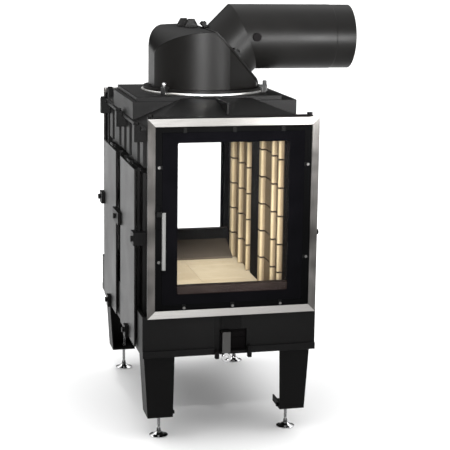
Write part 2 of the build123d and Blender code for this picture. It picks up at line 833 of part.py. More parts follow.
def side_clamps():
    """The right side's clamps: between the plates, at their outer edges, and under their bottom edges."""
    cap_x = plate_outer_x + seat_gap
    z0, z1 = clamp_z - clamp_height / 2, clamp_z + clamp_height / 2
    reach = plate_near_y + clamp_overlap
    clamps = [block(cap_x, clamp_outer_x, -reach, reach, z0, z1)]
    stem = rib_places[0][0] - rib_narrow / 2 - 1
    clamps[0] += block(side_outer, cap_x, -stem, stem, z0, z1)
    for sign in (-1, 1):
        far = sign * (end_clamp_y + end_clamp_width / 2)
        near = sign * (plate_far_y - clamp_overlap)
        cap = block(cap_x, clamp_outer_x, near, far, z0, z1)
        stem_near = sign * (rib_places[-1][0] + rib_narrow / 2 + 1)
        clamps.append(cap + block(side_outer, cap_x, stem_near, far, z0, z1))
        low_y = sign * low_clamp_y
        half = low_clamp_width / 2
        hook = block(cap_x, clamp_outer_x, low_y - half, low_y + half, floor_clearance, plate_bottom_z + low_clamp_rise)
        hook += block(skirt_face_x, cap_x, low_y - half, low_y + half, floor_clearance, plate_bottom_z - seat_gap)
        clamps.append(hook)
    return group(clamps)


def side_bolts():
    """Bolt heads on the right side's clamps."""
    heads = [bolt_on_side(0, clamp_z)]
    for sign in (-1, 1):
        heads.append(bolt_on_side(sign * end_clamp_y, clamp_z))
        heads.append(bolt_on_side(sign * low_clamp_y, plate_bottom_z + low_clamp_rise / 2))
    return group(heads)


# ---- firebox -------------------------------------------------------------------------------------------


def deck():
    """Plate on the tray that carries the firebox, slotted under the air ducts along its sides."""
    half_y = -casting_front_y
    plate = block(-base_half_width, base_half_width, -half_y, half_y, base_top_z, deck_z)
    half = air_slot_length / 2
    for y in air_slot_places:
        for sign in (-1, 1):
            x0, x1 = sign * (brick_back + sheet + 1), sign * (side_inner - 1)
            plate -= block(x0, x1, y - half, y + half, base_top_z, deck_z)
    return plate


def hearth():
    """Firebrick slabs of the floor, two abreast, on which the walls and sills stand too."""
    slabs = []
    pitch_y = 2 * body_half / hearth_rows
    gap = brick_joint / 2
    for row in range(hearth_rows):
        y0 = -body_half + row * pitch_y
        for x0, x1 in ((-brick_back, 0), (0, brick_back)):
            slab = block(x0 + gap, x1 - gap, y0 + gap, y0 + pitch_y - gap, deck_z, hearth_z)
            slabs.append(chamfer(slab.edges().group_by(Axis.Z)[-1], gap))
    return group(slabs)


def wall_brick(y0, y1, rib):
    """One wall brick between two places along Y: flat, with a rounded rib at its rear end; its face is toward -X."""
    near, far = y0 + brick_joint / 2, y1 - brick_joint / 2
    height = brick_height - brick_joint
    valley = brick_face + brick_relief
    brick = block(valley, brick_back, near, far, 0, height)
    nose = block(brick_face, valley, far - rib, far, 0, height)
    corners = nose.edges().filter_by(Axis.Z).sort_by(Axis.X)[:2]
    brick += fillet(corners, rib_round * rib / (rib + rib_round))
    faces = brick.faces().filter_by(Axis.Z)
    rims = [edge for face in faces for edge in face.edges() if edge.center().X < valley + brick_edge]
    return chamfer(rims, brick_edge)


def wall_bricks():
    """The right wall's firebricks, in two fields of ribbed courses."""
    bricks = []
    for y0, y1, rib in (*near_columns, *far_columns):
        brick = wall_brick(y0, y1, rib)
        bricks += [Pos(0, 0, hearth_z + course * brick_height) * brick for course in range(brick_courses)]
    return group(bricks)


def wall_posts():
    """Folded posts that hold the right wall's bricks, at the middle and at both ends."""
    gap = brick_joint
    near = (near_columns[-1][1] + gap, far_columns[0][0] - gap)
    front = (-body_half, near_columns[0][0] - gap)
    rear = (far_columns[-1][1] + gap, body_half)
    posts = []
    for y0, y1 in (near, front, rear):
        post = block(post_face, brick_back, y0, y1, hearth_z, brick_top_z)
        posts.append(post - block(post_face + sheet, brick_back, y0 + sheet, y1 - sheet, hearth_z, brick_top_z))
    return group(posts)


def duct_wall():
    """Sheet behind the right wall's bricks, with ribs across the air duct to the side casting."""
    half_y = -casting_back_y
    back = brick_back + sheet
    walls = [block(brick_back, back, -half_y, half_y, deck_z, brick_top_z)]
    for y in duct_rib_places:
        for mid in (-y, y):
            walls.append(block(back, side_inner, mid - sheet / 2, mid + sheet / 2, deck_z, brick_top_z))
    return group(walls)


def sill():
    """Sloping cast sill on the floor slabs, rising to the front frame, with a foot strip under its high edge."""
    outer, inner = casting_back_y, casting_back_y + sill_foot_inset
    half = brick_face - seat_gap
    high = hearth_z + sill_rise - sill_thickness
    plate = [(outer, high), (inner, hearth_z), (inner, hearth_z + sill_thickness), (outer, hearth_z + sill_rise)]
    slope = (high - hearth_z) / (outer - inner)
    foot_end = outer + sill_thickness
    foot_top = hearth_z + slope * (foot_end - inner)
    strip = [(outer, hearth_z), (foot_end, hearth_z), (foot_end, foot_top), (outer, high)]
    return group([prism_x(points, -half, half) for points in (plate, strip)])


def ceiling():
    """Firebox ceiling with its smoke opening."""
    half_y = -casting_back_y
    plate = block(-side_inner, side_inner, -half_y, half_y, brick_top_z, ceiling_top_z)
    opening = block(-ceiling_half_x, ceiling_half_x, -ceiling_half_y, ceiling_half_y, brick_top_z, ceiling_top_z)
    return plate - opening


def deflector():
    """Plate that turns the smoke aside above the opening, on four stand-offs."""
    z0 = ceiling_top_z + deflector_rise
    plate = block(-deflector_half_x, deflector_half_x, -deflector_half_y, deflector_half_y, z0, z0 + deflector_thickness)
    for x in (-deflector_post_x, deflector_post_x):
        for y in (-deflector_post_y, deflector_post_y):
            plate += upright(deflector_post_radius, ceiling_top_z, z0, x, y)
    return plate


# ---- top -------------------------------------------------------------------------------------------------


def top_plate():
    """Cast cover of the body, with the round smoke opening."""
    half_y = -casting_back_y
    plate = block(-top_plate_half_x, top_plate_half_x, -half_y, half_y, side_top_z, seat_z)
    plate = chamfer(plate.edges().filter_by(Axis.Y).group_by(Axis.Z)[-1], 2)
    return plate - upright(smoke_radius, side_top_z, seat_z)


def top_lugs():
    """The right side's lugs that tie the cover to the side casting."""
    outer_x = top_plate_half_x + lug_depth
    half = lug_width / 2
    lugs = []
    for y in lug_places:
        z0 = seat_z - lug_height
        lug = block(top_plate_half_x, outer_x, y - half, y + half, z0, seat_z + 4)
        lug = chamfer(lug.edges().filter_by(Axis.Z).sort_by(Axis.X)[-2:], 3)
        lug += block(side_outer, top_plate_half_x, y - half, y + half, z0, side_top_z)
        lugs.append(lug - rib_solids())
    return group(lugs)


def rib_solids():
    """The upper ribs as plain blocks, cut out of what sits over them."""
    ribs = []
    for y, half in rib_spans():
        ribs.append(block(side_outer, rib_face_x, y - half, y + half, rib_split_z, side_top_z))
    return group(ribs)


def lug_bolts():
    """Bolt heads on the right side's lugs."""
    x = top_plate_half_x + lug_depth / 2
    return group([Pos(x, y, seat_z + 4) * hexagon_head(bolt_radius, bolt_head) for y in lug_places])


def dome_seat():
    """Stepped hollow casting on the cover that carries the dome's ring, open below."""
    right = seat_half_x - seat_right_step
    left = -seat_half_x + seat_left_step
    half_y = seat_half_y - seat_end_step
    low = block(-seat_half_x, seat_half_x, -seat_half_y, seat_half_y, seat_z, seat_step_z)
    high = block(left, right, -half_y, half_y, seat_step_z, seat_top_z)
    low = chamfer(low.edges().group_by(Axis.Z)[-1], seat_end_step)
    high = chamfer(high.edges().group_by(Axis.Z)[-1], seat_end_step)
    wall = seat_wall
    inner_y = seat_half_y - wall
    hollow = block(-seat_half_x + wall, seat_half_x - wall, -inner_y, inner_y, seat_z, seat_step_z - wall)
    inner_y = half_y - wall
    hollow += block(left + wall, right - wall, -inner_y, inner_y, seat_step_z - wall, seat_top_z - wall)
    return low + high - hollow - upright(smoke_radius, seat_z, seat_top_z)


def hood_section(y, half_top, height, inset):
    """One upright section of the hood at y, inset all round but at its bottom."""
    return make_face(
        Polyline(
            (-hood_half + inset, y, seat_z),
            (hood_half - inset, y, seat_z),
            (half_top - inset, y, seat_z + height - inset),
            (-half_top + inset, y, seat_z + height - inset),
            close=True,
        )
    )


def hood():
    """Sloping sheet hood between the dome's seat and the front frame, open below."""
    shells = []
    for inset in (0, hood_sheet):
        front, rear = casting_back_y + inset, -seat_half_y - inset
        sections = [
            hood_section(front, hood_front_half, hood_front_height, inset),
            hood_section(rear, hood_rear_half, hood_rear_height, inset),
        ]
        shells.append(loft(sections, ruled=True))
    outer, inner = shells
    return outer - inner


def gusset():
    """Triangular rib that stands on the middle of the hood."""
    run = -seat_half_y - casting_back_y
    slope = (hood_rear_height - hood_front_height) / run
    y0 = casting_back_y + gusset_front
    y1 = -ring_radius - 1
    low = seat_z + hood_front_height
    top = seat_z + hood_rear_height + gusset_rise
    points = [
        (y0, low + slope * (y0 - casting_back_y)),
        (y1, low + slope * (y1 - casting_back_y)),
        (y1, top),
        (y0, top),
    ]
    return prism_x(points, -gusset_thickness / 2, gusset_thickness / 2)


def frame_bolts():
    """Bolt heads on the top edge of the front frame, near its corners."""
    x = door_half - hinge_inset
    y = (casting_front_y + casting_back_y) / 2
    return group([Pos(sign * x, y, door_top_z) * hexagon_head(bolt_radius, bolt_head) for sign in (-1, 1)])


def dome_ring():
    """Machined ring that the dome turns on."""
    ring = upright(ring_radius, seat_top_z, ring_top_z) - upright(smoke_radius, seat_top_z, ring_top_z)
    return chamfer(ring.edges().filter_by(GeomType.CIRCLE).sort_by(SortBy.RADIUS)[-2:], ring_height / 5)


def dome_clamps():
    """Dogs on the seat that hold the dome's flange down."""
    z0 = seat_top_z
    over = dome_z + dome_flange_height + stop_gap
    top = over + dome_clamp_cap
    half = dome_clamp_width / 2
    r0, r1 = ring_radius + stop_gap, ring_radius + dome_clamp_reach
    dog = block(r0, r1, -half, half, z0, over)
    dog += block(dome_flange_radius - dome_clamp_overlap, r1, -half, half, over, top)
    dog = chamfer(dog.edges().filter_by(Axis.Y).group_by(Axis.Z)[-1], 2)
    return group([around(dog, turn) for turn in dome_clamp_angles])


def dome_clamp_bolts():
    """Tall bolt heads on the dome's clamps."""
    x = ring_radius + dome_clamp_reach / 2
    z = dome_z + dome_flange_height + stop_gap + dome_clamp_cap
    head = Pos(x, 0, z) * hexagon_head(dome_clamp_bolt, dome_clamp_head)
    return group([around(head, turn) for turn in dome_clamp_angles])


# ---- dome and elbow --------------------------------------------------------------------------------------


def arch_face(y, corner, top_z, inset):
    """Upright section of the dome at y: a flat left cheek, an elliptic shoulder and a flat top."""
    width, rise = corner[0] - inset * 0.5, corner[1] - inset * 0.5
    left, top, low = -dome_half_width + inset, top_z - inset, dome_z
    right = 1.2 * dome_radius
    shoulder = EllipticalCenterArc((left + width, top - rise), width, rise, start_angle=QUARTER, arc_size=QUARTER)
    shoulder = Pos(0, y, 0) * Rot(QUARTER, 0, 0) * shoulder
    rest = Polyline((left, y, top - rise), (left, y, low), (right, y, low), (right, y, top), (left + width, y, top))
    return make_face(shoulder.edges() + rest.edges())


def arch_loft(inset):
    """The long arch from the front section to the rear one, inset all round."""
    reach = dome_radius * 1.05
    front = arch_face(-reach, front_corner, dome_top_z - dome_front_drop, inset)
    rear = arch_face(reach, rear_corner, dome_top_z, inset)
    return loft([front, rear], ruled=True)


def dome_body(inset, plane_shift):
    """The dome's solid envelope, inset all round, cut by the outlet plane moved inward by plane_shift."""
    envelope = arch_loft(inset) & upright(dome_radius - inset, dome_z, dome_top_z + 1)
    envelope &= outlet_half_space(-plane_shift)
    return envelope - cheek_cut(inset)


def outlet_half_space(shift):
    """Everything under the outlet plane moved outward by shift."""
    size = 4 * dome_radius
    body = Box(size, size, size, align=(Align.CENTER, Align.CENTER, Align.MAX))
    return Pos(outlet_x, 0, outlet_z) * Rot(0, 90 - outlet_angle, 0) * Pos(0, 0, shift) * body


def cheek_cut(inset):
    """What is cut off the round wall by the flat cheeks to the right of the front and rear creases."""
    x0, x1 = cheek_start_x, cheek_end_x
    y0, y1 = -sqrt(dome_radius**2 - x0**2), -sqrt(dome_radius**2 - x1**2)
    length = sqrt((x1 - x0) ** 2 + (y1 - y0) ** 2)
    nx, ny = (y1 - y0) / length, -(x1 - x0) / length
    start = (x0 - nx * inset, y0 - ny * inset)
    end = (start[0] + 2 * (x1 - x0), start[1] + 2 * (y1 - y0))
    away = dome_radius
    outline = Polyline(
        start, end, (end[0] + nx * away, end[1] + ny * away), (start[0] + nx * away, start[1] + ny * away), close=True
    )
    wedge = extrude(make_face(outline), amount=1.2 * dome_height)
    front = Pos(0, 0, dome_z - dome_wall) * wedge
    return front + mirror(front, Plane.XZ)


def neck_cylinder(radius, low, high):
    """A cylinder on the neck's axis between two heights above the outlet plane."""
    body = Cylinder(radius, high - low, align=(Align.CENTER, Align.CENTER, Align.MIN))
    return Pos(outlet_x, 0, outlet_z) * Rot(0, 90 - outlet_angle, 0) * Pos(0, 0, low) * body


def dome():
    """Cast dome: a hollow shell with a flange below, an outlet at 45 degrees and two lifting ears."""
    shell = dome_body(0, 0)
    hollow = dome_body(dome_wall, dome_wall) & upright(dome_radius, dome_z, dome_top_z)
    shell += upright(dome_flange_radius, dome_z, dome_z + dome_flange_height)
    shell -= hollow
    shell -= upright(dome_radius - dome_wall - 12, dome_z, dome_z + dome_flange_height)
    for x, y in ear_places:
        shell += ear(x, y)
    return shell - neck_cylinder(flue_radius + outlet_clearance, -3 * dome_wall, dome_wall)


def ear(x, y):
    """Lifting ear on the dome's top: a small triangular web with a rounded tip."""
    z = dome_top_z - dome_wall
    top = dome_top_z + ear_height
    half, tip = ear_width / 2, ear_tip / 2
    foot = [(x - half, y, z), (x + half, y, z), (x + half, y, dome_top_z), (x + tip, y, top)]
    outline = make_face(Polyline(*foot, (x - tip, y, top), (x - half, y, dome_top_z), close=True))
    return extrude(outline, amount=ear_thickness, dir=(0, 1, 0))


def outlet_flange():
    """Bright machined flange plate on the dome's 45 degree face."""
    lip = outlet_lip
    plate = arch_loft(-lip) & upright(dome_radius + lip, dome_z + dome_flange_height, dome_top_z + lip)
    plate -= cheek_cut(-lip)
    plate &= outlet_half_space(outlet_plate)
    plate -= outlet_half_space(0)
    return plate - neck_cylinder(flue_radius + outlet_clearance, -1, outlet_plate + 1)


def outlet_clips():
    """Clips on the outlet flange that hold the neck's collar; one at the front, one at the rear, one on top."""
    base = outlet_plate
    r0 = flue_radius + collar_width + stop_gap
    over = base + seat_gap + collar_height + stop_gap
    half = outlet_clip_width / 2
    clips = []
    for turn in (-90, 90, 180):
        clip = block(r0, r0 + outlet_clip_length - 6, -half, half, base, over)
        clip += block(r0 - collar_width, r0 + outlet_clip_length - 6, -half, half, over, over + outlet_clip_height - 2)
        clip += Pos(r0 + outlet_clip_length / 3, 0, over + outlet_clip_height - 2) * hexagon_head(bolt_radius * 0.7, 5)
        clips.append(Pos(outlet_x, 0, outlet_z) * Rot(0, 90 - outlet_angle, 0) * Rot(0, 0, turn) * clip)
    return group(clips)


def mitre_side(keep_neck):
    """Everything on one side of the elbow's mitre plane."""
    size = 12 * flue_radius
    body = Box(size, size, size, align=(Align.CENTER, Align.CENTER, Align.MAX if keep_neck else Align.MIN))
    return Pos(mitre_x, 0, flue_axis_z) * Rot(0, 90 - outlet_angle / 2, 0) * body


def neck():
    """The elbow's short 45 degree segment, with the collar that it turns on."""
    above = sqrt(2) * (flue_axis_z - outlet_z) + 2 * flue_radius
    low = -neck_below_plate
    tube = neck_cylinder(flue_radius, low, above) - neck_cylinder(flue_radius - flue_wall, low, above)
    collar_z = outlet_plate + seat_gap
    collar = neck_cylinder(flue_radius + collar_width, collar_z, collar_z + collar_height)
    collar -= neck_cylinder(flue_radius - flue_wall / 2, collar_z, collar_z + collar_height)
    return (tube & mitre_side(True)) + collar


def flue_pipe():
    """Horizontal flue pipe, mitred to the neck, its end drawn in a little to go into a socket."""
    start = mitre_x - flue_radius
    spigot_x = flue_end_x - spigot_length
    spigot = flue_radius - spigot_step
    taper_x = spigot_x - spigot_taper
    tube = crosswise(flue_radius, start, taper_x, 0, flue_axis_z)
    tube += crosswise(spigot, spigot_x, flue_end_x, 0, flue_axis_z)
    cone = Rot(0, QUARTER, 0) * Cone(flue_radius, spigot, spigot_taper)
    tube += Pos(spigot_x - spigot_taper / 2, 0, flue_axis_z) * cone
    tube -= crosswise(flue_radius - flue_wall, start, flue_end_x, 0, flue_axis_z)
    return tube & mitre_side(False)


def test_port_plug(end_sign):
    """Screwed plug of the flue gas test port on the pipe's side."""
    y0 = end_sign * (flue_radius - 4)
    y1 = end_sign * (flue_radius + port_plug_height)
    plug = lengthwise(port_plug_radius, y0, y1, port_plug_x, flue_axis_z + port_plug_rise)
    reach = 2 * port_plug_radius
    hollow = crosswise(flue_radius, port_plug_x - reach, port_plug_x + reach, 0, flue_axis_z)
    return plug - hollow


# ---- assembly --------------------------------------------------------------------------------------------


def save_doors():
    """Both doors, with all that turns on them and what holds them."""
    for end, turn in ENDS.items():
        save(f"{end}_trim_frame", around(group(trim_bars()), turn))
        save(f"{end}_door_frame", around(group([door_frame(), handle_plate()]), turn))
        save(f"{end}_glass", around(glass_pane(), turn))
        save(f"{end}_glass_clips", around(group([glass_clips(), clip_screws()]), turn))
        save(f"{end}_door_seal", around(door_seal(), turn))
        save(f"{end}_handle", around(handle(), turn))
        save(f"{end}_latch_spindle", around(latch_spindle(), turn))
        save(f"{end}_hinges_and_keeper", around(group([hinge_lugs(), hinge_pins(), latch_keeper()]), turn))
        save(f"{end}_frame_casting", around(end_casting(), turn))


def save_base():
    """Base, air control, legs and feet."""
    save("base_tray", base_tray())
    save("air_inlet_collar", air_inlet_collar())
    save("deck_plate", deck())
    save("front_base_panel", base_panel(True))
    save("rear_base_panel", around(base_panel(False), 180))
    save("lever_guides", group([cover_plate(), lever_guides()]))
    save("air_port_plate", group([port_plate() + valve_rail()]))
    save("air_slide_plate", air_slide())
    save("air_lever", air_lever())
    save("air_lever_knob", lever_knob())
    corners = [(end, side) for end in ENDS for side in SIDES]
    for end, side in corners:
        save(f"{end}_{side}_foot", in_corner(foot(), end, side))
    for end, side in corners:
        save(f"{end}_{side}_leg", group([in_corner(leg(), end, side), in_corner(leg_screw(), end, side)]))


def save_sides():
    """Side castings, cover plates, clamps and the firebox walls, right and mirrored left."""
    right_casting, left_casting = both_sides(side_casting())
    front_plate = group([side_plate(), plate_spacers()])
    right_plates = group([front_plate, mirror(front_plate, Plane.XZ)])
    save("right_side_casting", right_casting)
    save("left_side_casting", left_casting)
    save("side_cover_plates", group(both_sides(right_plates)))
    save("wall_firebricks", group(both_sides(wall_bricks())))
    save("duct_walls", group([*both_sides(duct_wall()), *both_sides(wall_posts())]))
    save("cover_clamps", group([*both_sides(side_clamps()), *both_sides(side_bolts())]))
    save("base_skirts", group(both_sides(base_skirt())))


def save_firebox_and_top():
    """Firebox floor, sills and ceiling, and the cover with the dome's seat."""
    save("hearth_slabs", hearth())
    save("sloping_sills", group(both_ends(sill())))
    save("ceiling_plate", ceiling())
    save("smoke_deflector", deflector())
    save("top_plate", top_plate())
    save("top_lugs", group([*both_sides(top_lugs()), *both_sides(lug_bolts()), *both_ends(frame_bolts())]))
    save("dome_seat", dome_seat())
    save("hoods", group([*both_ends(hood()), *both_ends(gusset())]))
    save("dome_ring", dome_ring())
    save("dome_clamps", group([dome_clamps(), dome_clamp_bolts()]))


def save_dome_and_elbow():
    """The dome and the elbow that turns on its outlet."""
    save("dome", dome())
    save("outlet_flange", outlet_flange())
    save("outlet_clips", outlet_clips())
    save("elbow_neck", neck())
    save("flue_pipe", flue_pipe())
    save("test_port_plug", test_port_plug(-1))


os.makedirs("parts", exist_ok=True)
save_doors()
save_base()
save_sides()
save_firebox_and_top()
save_dome_and_elbow()
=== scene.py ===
"""Looks for the see-through fireplace insert: materials, the enamel print on the glass, light and camera."""

import math

import bmesh
import bpy
from mathutils import Matrix, Vector

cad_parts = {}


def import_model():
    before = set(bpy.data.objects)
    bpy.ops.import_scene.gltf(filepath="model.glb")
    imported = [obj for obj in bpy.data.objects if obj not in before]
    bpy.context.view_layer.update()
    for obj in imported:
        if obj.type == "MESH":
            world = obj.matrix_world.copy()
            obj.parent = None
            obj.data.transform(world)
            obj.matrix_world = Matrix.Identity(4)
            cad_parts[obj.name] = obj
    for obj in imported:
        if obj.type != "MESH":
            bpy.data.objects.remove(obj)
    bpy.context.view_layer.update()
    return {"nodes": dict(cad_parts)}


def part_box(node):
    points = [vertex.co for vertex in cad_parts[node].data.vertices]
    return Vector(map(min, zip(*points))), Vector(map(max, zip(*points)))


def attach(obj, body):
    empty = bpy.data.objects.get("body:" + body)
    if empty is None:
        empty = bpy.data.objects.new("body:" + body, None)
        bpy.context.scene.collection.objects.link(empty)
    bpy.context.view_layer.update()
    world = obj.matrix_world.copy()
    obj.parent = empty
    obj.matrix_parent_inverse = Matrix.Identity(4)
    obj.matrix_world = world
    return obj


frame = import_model()

# ---- places, in metres, in the frame's own axes ------------------------------------------------------

glass_low, glass_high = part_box("front_glass")
trim_low, trim_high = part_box("front_trim_frame")

CENTRE_X = (glass_low[0] + glass_high[0]) / 2
GLASS_Y = glass_low[1]
GLASS_HALF = (glass_high[0] - glass_low[0]) / 2
GLASS_Z = (glass_low[2], glass_high[2])
PRINT_HALF = 0.162  # clear part of the glass inside the print
PRINT_Z = (0.454, 0.888)
PRINT_FRONT_GAP = 0.00012  # faces of the print in front of the glass
PRINT_BACK_GAP = 0.00002
PRINT_CORNER = 0.004
CORNER_STEPS = 5

FACE_Y = abs(trim_low[1])
DOOR_HALF = (trim_high[0] - trim_low[0]) / 2
DOOR_HALF_HEIGHT = (trim_high[2] - trim_low[2]) / 2
DOOR_MIDDLE_Z = (trim_high[2] + trim_low[2]) / 2
SCREW_FACE_Y = FACE_Y - 0.0019  # screw heads of the glass clips lie outside this
# screw heads above this height are painted black as painted shade
PAINTED_SHADE_SCREWS_Z = 0.9
HANDLE_BACK_Y = FACE_Y + 0.0142  # the handle's bar lies outside this
MOUTH_HALF = 0.19
MOUTH_HALF_HEIGHT = 0.25
# depth from which the opening toward the firebox is kept black as painted shade
MOUTH_SHADE_Y = 0.004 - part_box("front_frame_casting")[1][1]

BRIGHT_CLAMP_X = CENTRE_X - 0.1
CLAMP_TOP_Z = 1.0205
THREAD_START_Z = 0.0275
THREAD_HALF_PITCH = 0.00085

BRICK_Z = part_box("wall_firebricks")[0][2]
BRICK_HEIGHT = 0.0856
BRICK_FACE = 0.17  # ribs' faces from the centre line
COURSE = ("Z", -BRICK_Z, BRICK_HEIGHT)  # axis, shift and pitch of a grid of tints
WALL_GRID = (COURSE, ("Y", 1.05, 0.134))
SLAB_GRID = (("X", 5.0 * 0.182 - CENTRE_X, 0.182), ("Y", 0.98, 0.196))
CENTIMETRES = 100.0  # a ramp reads 0 to 1, so it is fed in centimetres
JOINT_SOOT = (0.187, 0.34)  # cm from the joint: full soot, none
VALLEY_SHADE_DEPTH = (0.1, 1.1)  # cm behind the ribs' faces: no painted shade, full painted shade

# ---- tones, as linear light ----------------------------------------------------------------------------

BLACK_IRON = (0.0034, 0.0033, 0.0033)
BLACKENED = (0.004, 0.004, 0.004)
CLAMP_BLACK = (0.006, 0.006, 0.006)
SOOT = (0.022, 0.013, 0.008)
# painted shade for the valleys between the bricks' ribs
VALLEY_PAINTED_SHADE = (0.085, 0.058, 0.034)
WHITE = (1.0, 1.0, 1.0)


def linear(value):
    """An sRGB byte as a linear value."""
    c = value / 255
    return c / 12.92 if c <= 0.04045 else ((c + 0.055) / 1.055) ** 2.4


def rgb(r, g, b):
    return (linear(r), linear(g), linear(b))


def scaled(tone, factor):
    return tuple(c * factor for c in tone)


def opaque(tone):
    return (*tone, 1.0)


# ---- material helpers ----------------------------------------------------------------------------------


def feed(links, socket, value):
    """Links an output into a socket, or gives the socket its own value."""
    if hasattr(value, "is_linked"):
        links.new(value, socket)
    else:
        socket.default_value = value


def calculate(tree, operation, values, clamp=False):
    """Adds a math node to a node tree and returns its result."""
    node = tree.nodes.new("ShaderNodeMath")
    node.operation = operation
    node.use_clamp = clamp
    for socket, value in zip(node.inputs, values):
        feed(tree.links, socket, value)
    return node.outputs[0]


class Look:
    """A node material with a few short ways to add nodes."""

    def __init__(self, name, tone=None, roughness=0.5, metallic=0.0, specular=0.5):
        self.material = bpy.data.materials.new(name)
        self.material.use_nodes = True
        self.tree = self.material.node_tree
        self.links = self.tree.links
        self.shader = self.tree.nodes["Principled BSDF"]
        self.out = self.tree.nodes["Material Output"]
        if tone:
            self.shader.inputs["Base Color"].default_value = opaque(tone)
        self.shader.inputs["Roughness"].default_value = roughness
        self.shader.inputs["Metallic"].default_value = metallic
        self.shader.inputs["Specular IOR Level"].default_value = specular
        self.normal = None
        self.place = self.tree.nodes.new("ShaderNodeTexCoord").outputs["Object"]

    def add(self, kind, inputs=(), **settings):
        node = self.tree.nodes.new(kind)
        for key, value in settings.items():
            setattr(node, key, value)
        for key, value in dict(inputs).items():
            feed(self.links, node.inputs[key], value)
        return node

    def stretched(self, scale):
        """The object's coordinates, scaled by axis."""
        return self.add("ShaderNodeMapping", {"Vector": self.place, "Scale": scale}).outputs["Vector"]

    def noise(self, scale, detail=3.0, rough=0.55):
        inputs = {"Vector": self.place, "Scale": scale, "Detail": detail, "Roughness": rough}
        return self.add("ShaderNodeTexNoise", inputs).outputs["Fac"]

    def streaks(self, scale, rough=0.6):
        """Noise drawn out along the axis with the smallest scale."""
        inputs = {"Vector": self.stretched(scale), "Scale": 1.0, "Detail": 3.0, "Roughness": rough}
        return self.add("ShaderNodeTexNoise", inputs).outputs["Fac"]

    def math(self, operation, *values, clamp=False):
        return calculate(self.tree, operation, values, clamp)

    def axis(self, name):
        return self.add("ShaderNodeSeparateXYZ", {"Vector": self.place}).outputs[name]

    def away(self, name, middle=0.0):
        """Distance along an axis from a middle value, to either side."""
        return self.math("ABSOLUTE", self.math("SUBTRACT", self.axis(name), middle))

    def cell(self, name, shift, pitch):
        """Number of the cell of an even grid along an axis."""
        return self.math("FLOOR", self.math("DIVIDE", self.math("ADD", self.axis(name), shift), pitch))

    def blend(self, factor, first, second, start=0.3, end=0.7):
        """A colour ramp from one tone to another between two values of the factor."""
        node = self.add("ShaderNodeValToRGB", {"Fac": factor})
        for element, position, tone in zip(node.color_ramp.elements, (start, end), (first, second)):
            element.position = position
            element.color = opaque(tone)
        return node.outputs["Color"]

    def grey(self, factor, first, second, start=0.3, end=0.7):
        return self.blend(factor, (first,) * 3, (second,) * 3, start, end)

    def mix(self, factor, a, b):
        return self.add("ShaderNodeMix", {0: factor, 6: a, 7: b}, data_type="RGBA").outputs[2]

    def color(self, socket):
        self.links.new(socket, self.shader.inputs["Base Color"])

    def metallic(self, socket):
        self.links.new(socket, self.shader.inputs["Metallic"])

    def roughness(self, socket):
        self.links.new(socket, self.shader.inputs["Roughness"])

    def bump(self, height, strength, distance):
        """Adds one more layer of relief over those before."""
        node = self.add("ShaderNodeBump", {"Height": height, "Strength": strength, "Distance": distance})
        if self.normal:
            self.links.new(self.normal, node.inputs["Normal"])
        self.take_normal(node)

    def soft_edges(self, radius):
        """Rounds the sharp edges of the solids in the shading."""
        self.take_normal(self.add("ShaderNodeBevel", {"Radius": radius}, samples=4))

    def take_normal(self, node):
        self.normal = node.outputs["Normal"]
        self.links.new(self.normal, self.shader.inputs["Normal"])


# ---- materials -----------------------------------------------------------------------------------------


def black_paint(name, tone, roughness, specular, grain, relief, edge):
    """Heat-proof black paint over metal: fine grain, faint clouding and a duller bloom here and there."""
    look = Look(name, roughness=roughness, specular=specular)
    look.soft_edges(edge)
    clouds = look.noise(7.0, 4.0, 0.6)
    fine = look.noise(grain, 2.0, 0.6)
    look.color(look.blend(clouds, scaled(tone, 0.82), scaled(tone, 1.25)))
    mixed = look.math("MULTIPLY_ADD", clouds, 0.6, look.math("MULTIPLY", fine, 0.4))
    look.roughness(look.grey(mixed, roughness - 0.05, roughness + 0.07))
    look.bump(fine, relief, 0.0004)
    return look


def cast_iron():
    """Painted iron with the sand's pits and the slight waves of a casting."""
    look = black_paint("cast_iron_black", BLACK_IRON, 0.46, 0.09, grain=900.0, relief=0.35, edge=0.0024)
    pits = look.add("ShaderNodeTexVoronoi", {"Vector": look.place, "Scale": 260.0}).outputs["Distance"]
    look.bump(pits, 0.12, 0.0006)
    look.bump(look.noise(22.0), 0.08, 0.002)
    return look


def mouth_iron():
    """The fixed frames: browned by the fire in the outer part of the opening, black elsewhere; the part of
    the opening toward the firebox is kept black as painted shade.
    """
    look = black_paint("mouth_iron", BLACK_IRON, 0.55, 0.05, grain=900.0, relief=0.35, edge=0.0015)
    across = look.math("LESS_THAN", look.away("X", CENTRE_X), MOUTH_HALF)
    upright = look.math("LESS_THAN", look.away("Z", DOOR_MIDDLE_Z), MOUTH_HALF_HEIGHT)
    # the part of the opening toward the firebox stays black: painted shade
    outer = look.math("GREATER_THAN", look.away("Y"), MOUTH_SHADE_Y)
    inside = look.math("MULTIPLY", look.math("MULTIPLY", across, upright), outer)
    brown = look.blend(look.noise(11.0, 4.0, 0.6), (0.014, 0.0098, 0.0088), (0.027, 0.019, 0.0165))
    look.color(look.mix(inside, opaque(BLACK_IRON), brown))
    return look


